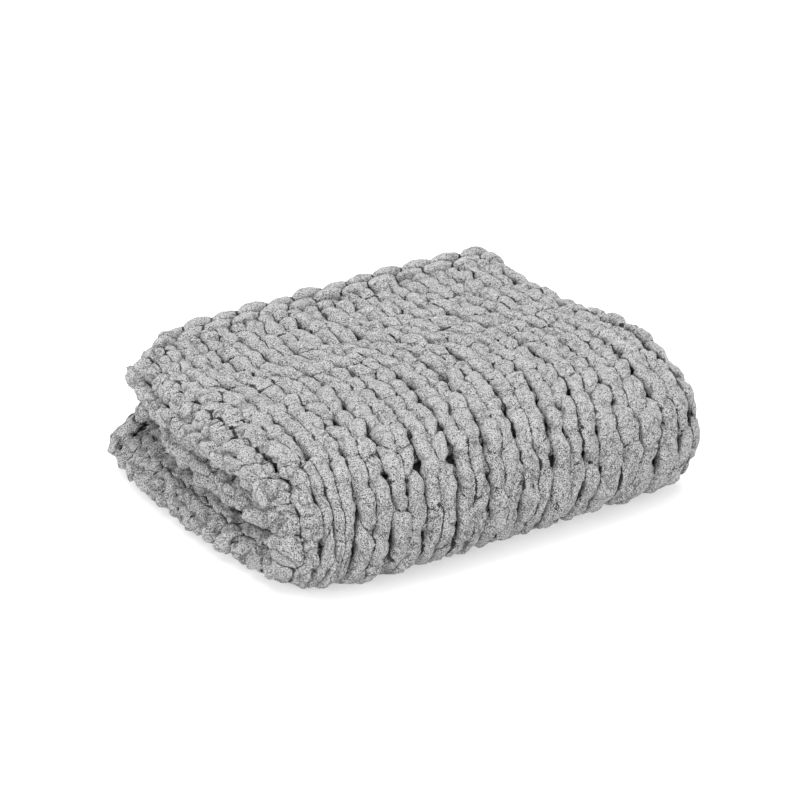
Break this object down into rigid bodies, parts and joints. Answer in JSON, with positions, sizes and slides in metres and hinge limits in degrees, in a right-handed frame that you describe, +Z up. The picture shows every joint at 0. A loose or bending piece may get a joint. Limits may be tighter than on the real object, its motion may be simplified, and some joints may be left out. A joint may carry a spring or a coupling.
{
  "type": "folded chenille knit blanket",
  "caption": "Chunky chenille knit throw in plain grey, folded in half and then in thirds into a soft pack with a big rounded front fold.",
  "frame": {"origin": "on the surface it lies on, at the centre of the folded blanket's box", "axes": "+Z up; +X along the length of the rounded front fold, towards the half fold; -Y towards the rounded front fold"},
  "size_m": [0.698, 0.5764, 0.1824],
  "materials": {
    "chenille_yarn": "matte, fuzzy chenille pile, mid grey"
  },
  "bodies": {
    "root": {"blanket": "chenille_yarn"}
  },
  "joints": []
}
